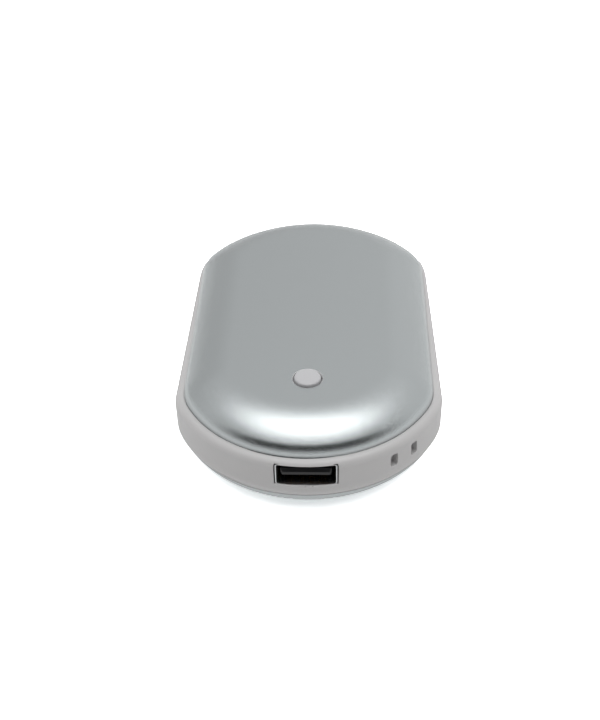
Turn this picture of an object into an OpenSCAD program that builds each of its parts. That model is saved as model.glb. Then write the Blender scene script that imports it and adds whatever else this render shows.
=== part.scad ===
// Rechargeable hand warmer, in millimetres. It lies flat: the origin is the middle of
// its underside, +Z is up through the button's face, and -Y is the output port's end.

/* [Outline] */
// Length over both ends
body_length = 100; // [98:0.5:104]
// Width over the two long sides
body_width = 61.4; // [60.8:0.2:62.4]
// Thickness over both shells
body_height = 22.5; // [22.4:0.1:23.4]
// Radius of the four corners
corner_radius = 15.7; // [15.2:0.1:16.2]

/* [Shells] */
// Wall of the two aluminium shells
shell_wall = 1; // [0.8:0.1:1]
// Height of the top shell above the frame's upper edge
top_shell_rise = 6.5; // [6.4:0.1:6.6]
// Depth of the bottom shell below the frame's lower edge
bottom_shell_rise = 6.2; // [6:0.1:6.4]
// Distance from the outline to the flat part of a shell
flat_inset = 12.6; // [12.4:0.1:12.8]
// Radius of the top shell where it starts to turn over
top_shoulder_radius = 3.9; // [3.5:0.1:4.5]
// Radius of the bottom shell where it starts to turn under
bottom_shoulder_radius = 3.9; // [3.5:0.1:4.3]

/* [Frame] */
// Rounding of the frame's upper edge
upper_edge_radius = 1.9; // [1.6:0.1:2]
// How far the frame's side curves in towards its lower edge
lower_edge_inset = 1; // [0.8:0.1:1.2]
// Distance from the outline to the frame's inner wall
frame_wall = 4.2; // [4:0.1:4.3]
// Width of the groove between frame and shell
seam_gap = 0.15; // [0.1:0.05:0.2]

/* [Button] */
// Distance from the middle of the body to the button
button_offset = 28.9; // [28.7:0.1:29.1]
// Radius of the button cap
cap_radius = 3; // [2.8:0.1:3.1]
// Height of the cap above the shell
cap_proud = 0.6; // [0.4:0.1:0.8]
// Radius of the hole in the shell
button_hole_radius = 3.4; // [3.3:0.1:3.6]

/* [Ports] */
// Height of the middle of both ports
port_height = 12.4; // [12.3:0.1:12.5]
// Width of the opening for the output port
output_opening_width = 13.7; // [13.4:0.1:14]
// Height of the opening for the output port
output_opening_height = 5.3; // [5.1:0.1:5.6]
// Width of a lanyard slot
slot_width = 1.9; // [1.6:0.1:2.2]
// Height of a lanyard slot
slot_height = 3.2; // [3:0.1:3.6]

/* [Battery] */
// Width of a cell
cell_width = 37; // [35:0.5:37]
// Thickness of a cell
cell_thickness = 6.4; // [6:0.1:6.4]

/* [Hidden] */
$fn = 48;

// Plan outline: straight sides, corner arcs and end arcs, each tangent to the next. The
// end arc meets a corner arc on the long side of a triangle whose sides are 15, 8 and 17.
half_width = body_width / 2;
half_length = body_length / 2;
corner_x = half_width - corner_radius;
corner_rise = corner_x * 8 / 15;
end_radius = corner_radius + corner_x * 17 / 15;
end_y = half_length - end_radius;
corner_y = end_y + corner_rise;
corner_sweep = 40;

// Heights of the frame's edges, the arc of its side towards the lower one, and the heights
// of the ledges that the shells' rims rest on
upper_seam = body_height - top_shell_rise;
lower_seam = bottom_shell_rise;
lower_edge_sweep = 40;
lower_edge_radius = lower_edge_inset / (1 - cos(lower_edge_sweep));
ledge_depth = 0.4;
upper_ledge = upper_seam - ledge_depth;
lower_ledge = lower_seam + ledge_depth;
upper_lip_rise = 0.9;
lower_lip_rise = 0.35;
lip_gap = 0.25;

// Layers behind each shell, measured in from its flat inner face
heater_thickness = 0.2;
insulation_thickness = 1.2;
tray_thickness = 1.2;
tray_face = shell_wall + heater_thickness + insulation_thickness;
tray_floor = tray_face + tray_thickness;
tray_inset = 7.1;
tray_skirt = 1;
tray_skirt_height = 2.8;

// Pads, tapes and films
heater_width = 27;
heater_front = -24;
heater_rear = 30.4;
film_corner = 3;
tab_left = 4;
tab_right = 15.2;
tab_front = -26.2;
tape_width = 2.8;
tape_x = 14.4;
tape_half_length = 22;
rear_tape_length = 18;
rear_tape_y = 31.2;

// Lugs on the frame, which both trays are screwed to
lug_x = 21.7;
lug_y = 24;
lug_radius = 2.2;
lug_bottom = 8.5;
lug_top = body_height - lug_bottom;
lug_arm = 3.2;
foot_radius = 2;
tray_screw_radius = 0.8;
tray_screw_fit = 0.02;
tray_hole_radius = 0.95;
tray_head_radius = 1.5;
tray_head_height = 1;
tray_head_sink = 1.5;
tray_head_room = 0.1;
tray_screw_bite = 2.4;

// Cells, between the main board and the battery board
cell_front = -23.5;
cell_rear = 31.5;
cell_corner = 1.2;
bond_thickness = 0.2;
lower_cell_z = tray_floor + bond_thickness;
upper_cell_z = lower_cell_z + cell_thickness + bond_thickness;
cell_stack_top = upper_cell_z + cell_thickness;
pad_width = 30;
tab_plate = [5, 1.2, 0.15];
tab_plate_x = 6;
battery_board_size = [30, 1, 10.6];
battery_board_z = 5;

// Main board, its pillars and its parts
board_thickness = 1.2;
output_size = [13.1, 14, 5.7];
output_wall = 0.3;
output_front = -49;
output_pocket_height = 5.8;
port_gap = 0.05;
tongue_bottom = port_height - 0.2;
board_top = port_height - output_size[2] / 2 - port_gap;
board_bottom = board_top - board_thickness;
board_half_width = 19;
board_rear = -24.6;
board_shoulder = -38;
board_nose_half_width = 9;
board_nose = -44;
pillar_x = 16;
pillar_y = -34;
pillar_radius = 2;
board_screw_radius = 0.7;
board_screw_head = [1.4, 0.9];
board_screw_bite = 3.6;
leg_size = [0.3, 1.2, 2];
leg_slot = [0.8, 1.8];
leg_y = [-42.6, -37.5];
lead_row = -25.1;
inductor_place = [10.7, -29.4];
can_place = [-13.5, -28];
ceramic_place = [8, -36.8];
chip_places = [[-10.4, -34.4], [-9.8, -29.2]];
chip_sizes = [[5, 4, 1.5], [4, 4, 0.9]];
light_x = 4.2;
fuse_place = [-17.6, -31.8];
heater_lead_x = [12.5, 14.1];
thermistor_x = 5.6;
thermistor_bead = [2, 1.2, 0.7];

// Button, plunger and switch
travel = 0.3;
cap_top = body_height + cap_proud;
flange_radius = 3.9;
flange_thickness = 0.8;
flange_gap = 0.15;
flange_top = body_height - shell_wall - flange_gap;
flange_bottom = flange_top - flange_thickness;
stem_radius = 1.6;
stem_guide_radius = 1.7;
guide_radius = 3;
guide_length = 2.7;
plunger_top = 13.9;
plunger_radius = 1.7;
plunger_gap = 0.02;
switch_width = 6.2;
switch_height = 3.2;
cavity_radius = 2.3;
cavity_floor = 0.5;
cavity_height = 2.3;
plunger_hole_radius = 1.8;

// Charging inlet, on its own small board at the rear
inlet_size = [7.5, 5.6, 2.8];
inlet_wall = 0.25;
inlet_rear = 48.4;
inlet_opening = [8, 3.3];
charge_board_width = 22;
charge_board_front = 37.5;
charge_board_rear = 43.2;
charge_nose = [9.6, 45.2];
charge_board_thickness = 1;
charge_board_top = port_height - inlet_size[2] / 2 - port_gap;
charge_board_bottom = charge_board_top - charge_board_thickness;
charge_pillar_x = 9.5;
charge_pillar_y = 39.8;
charge_pillar_radius = 1.6;

// Lanyard slots, as angles round the middle of the front end arc
slot_angles = [-54.4, -43.9];
slot_z = upper_seam - 4.15;
slot_depth = 3.2;
slot_bar = 1.6;

// Wires
wire_radius = 0.45;
lead_lane_x = 18.98;
thin_wire_radius = 0.25;
battery_lead_start = 12;
battery_lead_turn = -27;
battery_lead_heights = [10.4, 11.8];
battery_lead_ends = [17.6, 16.2];
charge_lead_turn = -26;
charge_lead_rear = 37.9;
charge_lead_corners = [[-16, 35.6], [-lead_lane_x, 32.4]];
charge_lead_heights = [11.9, 13.3];
charge_lead_starts = [-10.4, -8.8];
charge_lead_ends = [-17.3, -16.1];

silver = "#a9adb0";
white_plastic = "#e8e9e8";
dark_plastic = "#2b2c2e";
tray_grey = "#5b5e62";
steel = "#c9cccf";
gold = "#c9a24b";
film_orange = "#b8702a";
board_green = "#1f5a3a";
foam_black = "#3a3a3c";
tape_white = "#dcdcd6";
foil_silver = "#b9bcc0";

// Points along an arc, from one angle to another. An arc that goes on from another one
// leaves out its first point.
function arc(centre, radius, from, to, steps, first = 0) =
    [for (i = [first:steps]) centre + radius * [cos(from + (to - from) * i / steps),
                                                sin(from + (to - from) * i / steps)]];

// Carries a half section round the outline. In the section x = 0 is the outline, the
// body lies at negative x, and $reach is how far it is from there to the arc's own centre.
module around() {
    for (side = [0, 1]) mirror([side, 0, 0]) {
        $reach = half_width;
        translate([half_width, 0, 0]) rotate([90, 0, 0])
            linear_extrude(2 * corner_y, center = true) children();
    }
    for (side = [0, 1], end = [0, 1]) mirror([side, 0, 0]) mirror([0, end, 0]) intersection() {
        $reach = corner_radius;
        translate([corner_x, corner_y, 0]) rotate_extrude(angle = corner_sweep)
            translate([corner_radius, 0]) children();
        translate([corner_x, corner_y, -body_height])
            linear_extrude(3 * body_height)
                polygon([[0, 0], [10 * corner_x, 0], 10 * [corner_x, corner_rise]]);
    }
    for (end = [0, 1]) mirror([0, end, 0]) intersection() {
        $reach = end_radius;
        translate([0, end_y, 0]) rotate_extrude(angle = 180) translate([end_radius, 0]) children();
        translate([0, end_y, -body_height]) linear_extrude(3 * body_height)
            polygon([[0, 0], 10 * [corner_x, corner_rise], 10 * [-corner_x, corner_rise]]);
    }
}

// Flat slab of the outline's shape, drawn in by inset
module slab(inset, bottom, thickness) {
    around() translate([-$reach, bottom]) square([$reach - inset, thickness]);
}

// Wall that follows the outline, between two insets
module wall(outer_inset, inner_inset, bottom, height) {
    around() translate([-inner_inset, bottom]) square([inner_inset - outer_inset, height]);
}

// A shell, drawn the way up that it has on top. Its section is a vertical rim, a tight
// shoulder arc and a wide arc that ends level, where the flat face takes over.
module shell(edge_inset, rise, shoulder_radius) {
    run = flat_inset - edge_inset;
    wide_radius = (pow(run - shoulder_radius, 2) + pow(rise, 2) - pow(shoulder_radius, 2))
        / (2 * (rise - shoulder_radius));
    seam = body_height - rise;
    shoulder_centre = [-edge_inset - shoulder_radius, seam];
    wide_centre = [-flat_inset, body_height - wide_radius];
    change = atan2(wide_radius - rise, run - shoulder_radius);
    lap = 1;
    around() polygon(concat(
        [[-edge_inset, seam - ledge_depth]],
        arc(shoulder_centre, shoulder_radius, 0, change, 8),
        arc(wide_centre, wide_radius, change, 90, 6, 1),
        [[-flat_inset - lap, body_height], [-flat_inset - lap, body_height - shell_wall]],
        arc(wide_centre, wide_radius - shell_wall, 90, change, 6),
        arc(shoulder_centre, shoulder_radius - shell_wall, change, 0, 8, 1),
        [[-edge_inset - shell_wall, seam - ledge_depth]]));
    slab(flat_inset, body_height - shell_wall, shell_wall);
}

// Turns what is drawn for the top half over, into its place in the bottom half
module underside() {
    translate([0, 0, body_height]) mirror([0, 0, 1]) children();
}

module at_button() {
    translate([0, -button_offset, 0]) children();
}

module top_shell() {
    color(silver) difference() {
        shell(upper_edge_radius + seam_gap, top_shell_rise, top_shoulder_radius);
        at_button() translate([0, 0, body_height - 3 * shell_wall])
            cylinder(r = button_hole_radius, h = 6 * shell_wall);
    }
}

module bottom_shell() {
    color(silver) underside()
        shell(lower_edge_inset + seam_gap, bottom_shell_rise, bottom_shoulder_radius);
}

// Outer band of the frame. Its upper edge is rounded, its side curves in towards the
// lower one, and inside each edge is a ledge.
module frame_band() {
    upper_lip = upper_edge_radius + seam_gap + shell_wall + lip_gap;
    lower_lip = lower_edge_inset + seam_gap + shell_wall + lip_gap;
    around() polygon(concat(
        [[-frame_wall, lower_seam - lower_lip_rise], [-lower_lip, lower_seam - lower_lip_rise],
         [-lower_lip, lower_ledge], [-lower_edge_inset, lower_ledge]],
        arc([-lower_edge_radius, lower_seam + lower_edge_radius * sin(lower_edge_sweep)],
            lower_edge_radius, -lower_edge_sweep, 0, 6),
        arc([-upper_edge_radius, upper_seam - upper_edge_radius], upper_edge_radius, 0, 90, 6),
        [[-upper_edge_radius, upper_ledge], [-upper_lip, upper_ledge],
         [-upper_lip, upper_seam + upper_lip_rise], [-frame_wall, upper_seam + upper_lip_rise]]));
}

// Puts what is drawn at +X, +Y in all four corners
module four_ways() {
    for (side = [0, 1], end = [0, 1]) mirror([side, 0, 0]) mirror([0, end, 0]) children();
}

module frame_lugs() {
    overlap = 0.3;
    four_ways() {
        translate([lug_x, lug_y, lug_bottom]) cylinder(r = lug_radius, h = lug_top - lug_bottom);
        translate([lug_x, lug_y - lug_arm / 2, lug_bottom])
            cube([half_width - frame_wall + overlap - lug_x, lug_arm, lug_top - lug_bottom]);
    }
}

// Two slots with a passage behind the bar between them, for a cord loop
module lanyard_slots() {
    translate([0, -end_y, slot_z - slot_height / 2]) {
        for (angle = slot_angles) rotate([0, 0, angle])
            translate([end_radius - slot_depth, -slot_width / 2, 0])
                cube([slot_depth + 1, slot_width, slot_height]);
        rotate([0, 0, slot_angles[0]]) rotate_extrude(angle = slot_angles[1] - slot_angles[0])
            translate([end_radius - slot_depth, 0]) square([slot_depth - slot_bar, slot_height]);
    }
}

module mid_frame() {
    color(white_plastic) difference() {
        union() {
            frame_band();
            frame_lugs();
        }
        four_ways() translate([lug_x, lug_y, lug_bottom - 1])
            cylinder(r = tray_screw_radius + tray_screw_fit, h = lug_top - lug_bottom + 2);
        translate([-output_opening_width / 2, -half_length - 1, port_height - output_opening_height / 2])
            cube([output_opening_width, frame_wall + 3, output_opening_height]);
        translate([-output_opening_width / 2, output_front - port_gap,
                   port_height - output_pocket_height / 2])
            cube([output_opening_width, frame_wall + 1, output_pocket_height]);
        translate([-inlet_opening[0] / 2, half_length - frame_wall - 2, port_height - inlet_opening[1] / 2])
            cube([inlet_opening[0], frame_wall + 3, inlet_opening[1]]);
        lanyard_slots();
    }
}

// Round cap with a softened edge, a flange under the shell and a stem to the plunger
module button_cap() {
    edge = 0.45;
    color("#eceded") at_button() rotate_extrude()
        polygon(concat(
            [[0, plunger_top + plunger_gap], [stem_radius, plunger_top + plunger_gap],
             [stem_radius, flange_bottom], [flange_radius, flange_bottom],
             [flange_radius, flange_top], [cap_radius, flange_top]],
            arc([cap_radius - edge, cap_top - edge], edge, 0, 90, 4),
            [[0, cap_top]]));
}

module switch_body() {
    color(dark_plastic) at_button() translate([0, 0, board_top]) difference() {
        translate([-switch_width / 2, -switch_width / 2, 0])
            cube([switch_width, switch_width, switch_height]);
        translate([0, 0, cavity_floor]) cylinder(r = cavity_radius, h = cavity_height);
        cylinder(r = plunger_hole_radius, h = switch_height + 1);
        translate([0, 0, -1]) cylinder(r = plunger_hole_radius / 2, h = 1 + cavity_floor);
    }
}

// Snap dome of spring steel, which returns the button, drawn as it lies when pressed
module switch_dome() {
    rise = 0.5;
    sheet = 0.1;
    edge_radius = cavity_radius - 0.2;
    color(steel) at_button() translate([0, 0, board_top + cavity_floor]) rotate_extrude()
        polygon([[edge_radius, 0], [edge_radius, sheet], [edge_radius / 2, rise],
                 [0, rise + sheet], [0, rise], [edge_radius / 2, rise - sheet]]);
}

// Plunger with a foot that keeps it in the switch, and a nub over the dome
module switch_plunger() {
    foot = 0.4;
    rim_radius = cavity_radius - 0.15;
    foot_z = board_top + cavity_floor + cavity_height - 0.1 - foot;
    nub_radius = 0.8;
    nub_z = board_top + cavity_floor + 0.65 + travel;
    color("#8b2f2a") at_button() rotate_extrude()
        polygon([[0, nub_z], [nub_radius, nub_z], [nub_radius, foot_z], [rim_radius, foot_z],
                 [rim_radius, foot_z + foot], [plunger_radius, foot_z + foot],
                 [plunger_radius, plunger_top], [0, plunger_top]]);
}

// Box that is centred on x = 0, with its front at a given y and its middle at port height
module port_block(size, front) {
    translate([-size[0] / 2, front, port_height - size[2] / 2]) cube(size);
}

// Folded steel sleeve of the output port, with four legs through the board
module output_port_shell() {
    bore = [output_size[0] - 2 * output_wall, output_size[1] + 2, output_size[2] - 2 * output_wall];
    color(steel) {
        difference() {
            port_block(output_size, output_front);
            port_block(bore, output_front - 1);
        }
        for (side = [0, 1], y = leg_y) mirror([side, 0, 0])
            translate([output_size[0] / 2 - leg_size[0], y - leg_size[1] / 2,
                       port_height - output_size[2] / 2 - leg_size[2]])
                cube([leg_size[0], leg_size[1], leg_size[2] + 0.1]);
    }
}

// Tongue that carries the contacts on its lower face, with a bevel over its nose that leads
// the plug in, and the block that closes the back
module output_port_tongue() {
    tongue_width = 10.9;
    tongue_top = tongue_bottom + 1.84;
    nose_face = 0.75;
    nose_bevel = 0.25;
    block = [12.3, 4.6, 4.9];
    block_front = output_front + output_size[1] - block[1] - 0.2;
    tongue_front = output_front + 0.05;
    tongue_rear = block_front + 1;
    color(dark_plastic) {
        port_block(block, block_front);
        translate([-tongue_width / 2, 0, 0]) rotate([90, 0, 90]) linear_extrude(tongue_width)
            polygon([[tongue_front, tongue_bottom], [tongue_rear, tongue_bottom],
                     [tongue_rear, tongue_top], [tongue_front + nose_bevel, tongue_top],
                     [tongue_front, tongue_bottom + nose_face]]);
    }
}

module output_port_contacts() {
    contact = [1, 7, 0.2];
    color(gold) for (x = [-3.5, -1, 1, 3.5])
        translate([x - contact[0] / 2, output_front + 2, tongue_bottom - contact[2]]) cube(contact);
}

module inlet_shell() {
    bore = [inlet_size[0] - 2 * inlet_wall, inlet_size[1] + 2, inlet_size[2] - 2 * inlet_wall];
    color(steel) difference() {
        port_block(inlet_size, inlet_rear - inlet_size[1]);
        port_block(bore, inlet_rear - inlet_size[1] - 1);
    }
}

module inlet_tongue() {
    block = [6.8, 1.4, 2.2];
    tongue = [3.7, 3.4, 0.6];
    block_y = inlet_rear - inlet_size[1] + 0.1;
    color(dark_plastic) {
        port_block(block, block_y);
        translate([-tongue[0] / 2, block_y + block[1] - 0.1, port_height + 0.15])
            cube([tongue[0], tongue[1], tongue[2]]);
    }
}

module inlet_contacts() {
    contact = [0.3, 2.6, 0.1];
    pitch = 0.65;
    color(gold) for (i = [-2:2])
        translate([i * pitch - contact[0] / 2, inlet_rear - 3.6, port_height + 0.05])
            cube(contact);
}

// Rounded rectangle between two lengthwise positions, centred on x = 0
module pad(width, front, rear, corner, bottom, thickness) {
    translate([0, 0, bottom]) linear_extrude(thickness) {
        translate([-width / 2, front + corner]) square([width, rear - front - 2 * corner]);
        translate([-width / 2 + corner, front]) square([width - 2 * corner, rear - front]);
        for (x = [-1, 1], y = [front + corner, rear - corner])
            translate([x * (width / 2 - corner), y]) circle(corner);
    }
}

// Etched foil heater between two films, with a tab for its leads
module heater() {
    z = body_height - shell_wall - heater_thickness;
    pad(heater_width, heater_front, heater_rear, film_corner, z, heater_thickness);
    translate([tab_left, tab_front, z])
        cube([heater_width / 2 - film_corner - tab_left, heater_front - tab_front + 1, heater_thickness]);
    translate([tab_left, tab_front, z])
        cube([tab_right - tab_left, heater_front - tab_front - 0.4, heater_thickness]);
}

module top_heater() {
    color(film_orange) heater();
}

module bottom_heater() {
    color(film_orange) mirror([1, 0, 0]) underside() heater();
}

module insulation() {
    pad(heater_width, heater_front, heater_rear, film_corner,
        body_height - shell_wall - heater_thickness - insulation_thickness, insulation_thickness);
}

module top_insulation() {
    color(foam_black) insulation();
}

module bottom_insulation() {
    color(foam_black) underside() insulation();
}

// Strips of double-sided tape on both sides of the heater and behind it
module shell_tape() {
    thickness = heater_thickness + insulation_thickness;
    translate([0, 0, body_height - shell_wall - thickness]) {
        for (side = [0, 1]) mirror([side, 0, 0]) translate([tape_x, -tape_half_length, 0])
            cube([tape_width, 2 * tape_half_length, thickness]);
        translate([-rear_tape_length / 2, rear_tape_y, 0])
            cube([rear_tape_length, tape_width, thickness]);
    }
}

module top_shell_tape() {
    color(tape_white) shell_tape();
}

module bottom_shell_tape() {
    color(tape_white) underside() shell_tape();
}

// Tray with a skirt round its edge and a foot over each lug, drawn as the top one
module tray_solid() {
    underside() {
        slab(tray_inset, tray_face, tray_thickness);
        wall(tray_inset, tray_inset + tray_skirt, tray_floor - 0.1, tray_skirt_height + 0.1);
        four_ways() translate([lug_x, lug_y, tray_face])
            cylinder(r = foot_radius, h = lug_bottom - tray_face);
    }
}

// Holes for the four tray screws, and a slot that the leads pass through
module tray_cuts() {
    underside() four_ways() translate([lug_x, lug_y, tray_face - 1]) {
        cylinder(r = tray_hole_radius, h = lug_bottom - tray_face + 2);
        cylinder(r = tray_head_radius + tray_head_room, h = tray_head_sink + 1);
    }
    translate([tab_left, tab_front + 0.2, body_height - tray_floor - 1])
        cube([tab_right - tab_left, 1.8, tray_thickness + 2]);
}

module top_tray() {
    guide_z = body_height - tray_floor - guide_length;
    color(tray_grey) difference() {
        union() {
            tray_solid();
            at_button() translate([0, 0, guide_z]) cylinder(r = guide_radius, h = guide_length + 0.1);
        }
        tray_cuts();
        at_button() translate([0, 0, guide_z - 1])
            cylinder(r = stem_guide_radius, h = guide_length + tray_thickness + 2);
    }
}

// Pillar with a blind screw hole, standing on the bottom tray
module pillar(radius, top) {
    translate([0, 0, tray_floor - 0.1]) cylinder(r = radius, h = top - tray_floor + 0.1);
}

module bottom_tray() {
    color(tray_grey) difference() {
        union() {
            mirror([1, 0, 0]) underside() tray_solid();
            for (side = [-1, 1]) {
                translate([side * pillar_x, pillar_y, 0]) pillar(pillar_radius, board_bottom);
                translate([side * charge_pillar_x, charge_pillar_y, 0])
                    pillar(charge_pillar_radius, charge_board_bottom);
            }
        }
        mirror([1, 0, 0]) underside() tray_cuts();
        for (side = [-1, 1]) {
            translate([side * pillar_x, pillar_y, board_bottom - board_screw_bite - 0.2])
                cylinder(r = board_screw_radius + tray_screw_fit, h = board_screw_bite + 1);
            translate([side * charge_pillar_x, charge_pillar_y, charge_board_bottom - board_screw_bite - 0.2])
                cylinder(r = board_screw_radius + tray_screw_fit, h = board_screw_bite + 1);
        }
    }
}

// Pan head screw with its shank down, and a slot across the head
module screw(shank_radius, shank_length, head_radius, head_height) {
    difference() {
        union() {
            cylinder(r = head_radius, h = head_height);
            translate([0, 0, -shank_length]) cylinder(r = shank_radius, h = shank_length + 0.1);
        }
        translate([-head_radius - 1, -0.2, head_height * 0.6])
            cube([2 * head_radius + 2, 0.4, head_height]);
    }
}

module tray_screws() {
    head_z = body_height - tray_face - tray_head_sink;
    four_ways() translate([lug_x, lug_y, head_z])
        screw(tray_screw_radius, head_z - lug_top + tray_screw_bite, tray_head_radius, tray_head_height);
}

module top_tray_screws() {
    color(steel) tray_screws();
}

module bottom_tray_screws() {
    color(steel) underside() tray_screws();
}

// Pouch cell, with a softened outline
module cell(bottom) {
    pad(cell_width, cell_front, cell_rear, cell_corner, bottom, cell_thickness);
}

module lower_cell() {
    color(foil_silver) cell(lower_cell_z);
}

module upper_cell() {
    color(foil_silver) cell(upper_cell_z);
}

// Sheet of tape or foam as wide as pad_width, under the middle of the cells
module cell_sheet(bottom, thickness) {
    margin = 2;
    translate([-pad_width / 2, cell_front + margin, bottom])
        cube([pad_width, cell_rear - cell_front - 2 * margin, thickness]);
}

module cell_tape() {
    color(tape_white) cell_sheet(tray_floor, bond_thickness);
}

module cell_bond() {
    color(tape_white) cell_sheet(lower_cell_z + cell_thickness, bond_thickness);
}

module cell_pad() {
    color(foam_black) cell_sheet(cell_stack_top, body_height - tray_floor - cell_stack_top);
}

// Nickel tabs from the cells' ends to the battery board
module cell_tabs() {
    color(steel) for (x = [-tab_plate_x, tab_plate_x], z = [lower_cell_z, upper_cell_z])
        translate([x - tab_plate[0] / 2, cell_rear, z + cell_thickness / 2]) cube(tab_plate);
}

module battery_board() {
    color(board_green) translate([-battery_board_size[0] / 2, cell_rear + tab_plate[1], battery_board_z])
        cube(battery_board_size);
}

// Board with a narrow nose under the output port, drilled for screws and port legs
module main_board() {
    clearance_radius = board_screw_radius + 0.1;
    color(board_green) translate([0, 0, board_bottom]) difference() {
        union() {
            translate([-board_half_width, board_shoulder, 0])
                cube([2 * board_half_width, board_rear - board_shoulder, board_thickness]);
            translate([-board_nose_half_width, board_nose, 0])
                cube([2 * board_nose_half_width, board_shoulder - board_nose + 1, board_thickness]);
        }
        for (side = [-1, 1]) {
            translate([side * pillar_x, pillar_y, -1])
                cylinder(r = clearance_radius, h = board_thickness + 2);
            for (y = leg_y)
                translate([side * (output_size[0] - leg_size[0]) / 2 - leg_slot[0] / 2,
                           y - leg_slot[1] / 2, -1])
                    cube([leg_slot[0], leg_slot[1], board_thickness + 2]);
        }
    }
}

module main_board_screws() {
    color(steel) for (side = [-1, 1]) translate([side * pillar_x, pillar_y, board_top])
        screw(board_screw_radius, board_thickness + board_screw_bite,
              board_screw_head[0], board_screw_head[1]);
}

// Moulded power inductor, with chamfered corners
module inductor() {
    size = 7;
    chamfer = 1.2;
    half = size / 2;
    height = 4.5;
    color("#4a4b4e") translate([inductor_place[0], inductor_place[1], board_top]) linear_extrude(height)
        polygon([[half, half - chamfer], [half - chamfer, half], [chamfer - half, half],
                 [-half, half - chamfer], [-half, chamfer - half], [chamfer - half, -half],
                 [half - chamfer, -half], [half, chamfer - half]]);
}

// One can capacitor and a row of ceramic ones
module capacitors() {
    can_radius = 2.5;
    can_height = 6;
    ceramic = [1.6, 0.8, 0.9];
    pitch = 2;
    color("#b3a68c") {
        translate([can_place[0], can_place[1], board_top]) cylinder(r = can_radius, h = can_height);
        for (i = [0:3]) translate([ceramic_place[0] + pitch * i, ceramic_place[1], board_top]) cube(ceramic);
    }
}

module control_chips() {
    color(dark_plastic) for (i = [0, 1])
        translate([chip_places[i][0], chip_places[i][1], board_top]) cube(chip_sizes[i]);
}

// Two lights beside the switch, which shine up through the cap
module indicator_lights() {
    light = [0.8, 1.6, 0.7];
    color("#d6d2a0") for (side = [-1, 1])
        translate([side * light_x - light[0] / 2, -button_offset - light[1] / 2, board_top]) cube(light);
}

module thermal_fuse() {
    fuse_radius = 0.9;
    fuse_length = 3.6;
    color("#b9b2a4") translate([fuse_place[0], fuse_place[1], board_top + fuse_radius + port_gap])
        rotate([-90, 0, 0]) cylinder(r = fuse_radius, h = fuse_length);
}

module charge_board() {
    clearance_radius = board_screw_radius + 0.1;
    color(board_green) translate([0, 0, charge_board_bottom]) difference() {
        union() {
            translate([-charge_board_width / 2, charge_board_front, 0])
                cube([charge_board_width, charge_board_rear - charge_board_front, charge_board_thickness]);
            translate([-charge_nose[0] / 2, charge_board_front, 0])
                cube([charge_nose[0], charge_nose[1] - charge_board_front, charge_board_thickness]);
        }
        for (side = [-1, 1]) translate([side * charge_pillar_x, charge_pillar_y, -1])
            cylinder(r = clearance_radius, h = charge_board_thickness + 2);
    }
}

module charge_board_screws() {
    color(steel) for (side = [-1, 1]) translate([side * charge_pillar_x, charge_pillar_y, charge_board_top])
        screw(board_screw_radius, charge_board_thickness + board_screw_bite,
              board_screw_head[0], board_screw_head[1]);
}

function unit(v) = v / norm(v);

// Ring of points round the start of a route
function first_ring(route, radius, sides) =
    let (along = unit(route[1] - route[0]),
         side = unit(cross(along, abs(along[2]) < 0.9 ? [0, 0, 1] : [1, 0, 0])),
         up = cross(side, along))
    [for (k = [0:sides - 1])
        route[0] + radius * (cos(360 * k / sides) * side + sin(360 * k / sides) * up)];

// Rings at the route's points, each carried along a run to the mitre at its far end
function rings(route, ring, i = 0) =
    let (along = unit(route[i + 1] - route[i]),
         last = i + 2 == len(route),
         mitre = last ? along : unit(along + unit(route[i + 2] - route[i + 1])),
         next = [for (p = ring) p + along * ((route[i + 1] - p) * mitre) / (along * mitre)])
    concat([ring], last ? [next] : rings(route, next, i + 1));

// Wire with straight runs between the points of its route
module wire(route, radius) {
    sides = 8;
    all_rings = rings(route, first_ring(route, radius, sides));
    last = len(all_rings) - 1;
    polyhedron(
        points = [for (ring = all_rings) each ring],
        faces = concat(
            [[for (k = [sides - 1:-1:0]) k]],
            [for (i = [0:last - 1], k = [0:sides - 1])
                let (n = (k + 1) % sides, near = i * sides, far = near + sides)
                    [near + k, near + n, far + n, far + k]],
            [[for (k = [0:sides - 1]) last * sides + k]]));
}

// Two wires from the battery board, beside the cells, to the main board
module battery_leads() {
    start_y = cell_rear + tab_plate[1] + battery_board_size[1] + wire_radius + port_gap;
    color("#a8322b") for (i = [0, 1]) {
        z = battery_lead_heights[i];
        end = battery_lead_ends[i];
        wire([[battery_lead_start, start_y, z], [lead_lane_x, start_y, z],
              [lead_lane_x, battery_lead_turn, z], [end, battery_lead_turn, z],
              [end, battery_lead_turn, board_top]], wire_radius);
    }
}

// Two wires from the charge board, one above the other, on the other side
module charge_leads() {
    color("#2f3033") for (i = [0, 1]) {
        z = charge_lead_heights[i];
        start = charge_lead_starts[i];
        end = charge_lead_ends[i];
        wire(concat([[start, charge_lead_rear, charge_board_top], [start, charge_lead_rear, z]],
                    [for (corner = charge_lead_corners) [corner[0], corner[1], z]],
                    [[-lead_lane_x, charge_lead_turn, z], [end, charge_lead_turn, z],
                     [end, charge_lead_turn, board_top]]), wire_radius);
    }
}

// A pair of wires straight down from the heater's tab to the main board
module top_heater_leads() {
    lead_top = body_height - shell_wall - heater_thickness;
    color("#d8d8d4") for (x = heater_lead_x) translate([x, lead_row, board_top])
        cylinder(r = wire_radius, h = lead_top - board_top);
}

module bottom_heater_leads() {
    lead_bottom = shell_wall + heater_thickness;
    color("#d8d8d4") for (x = heater_lead_x) translate([-x, lead_row, lead_bottom])
        cylinder(r = wire_radius, h = board_bottom - lead_bottom);
}

// Bead that senses the heater's temperature, under the heater's tab
module thermistor() {
    bead = thermistor_bead;
    color("#2a4f7a") translate([thermistor_x - bead[0] / 2, lead_row - bead[1] / 2,
                                body_height - shell_wall - heater_thickness - bead[2]]) cube(bead);
}

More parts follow.
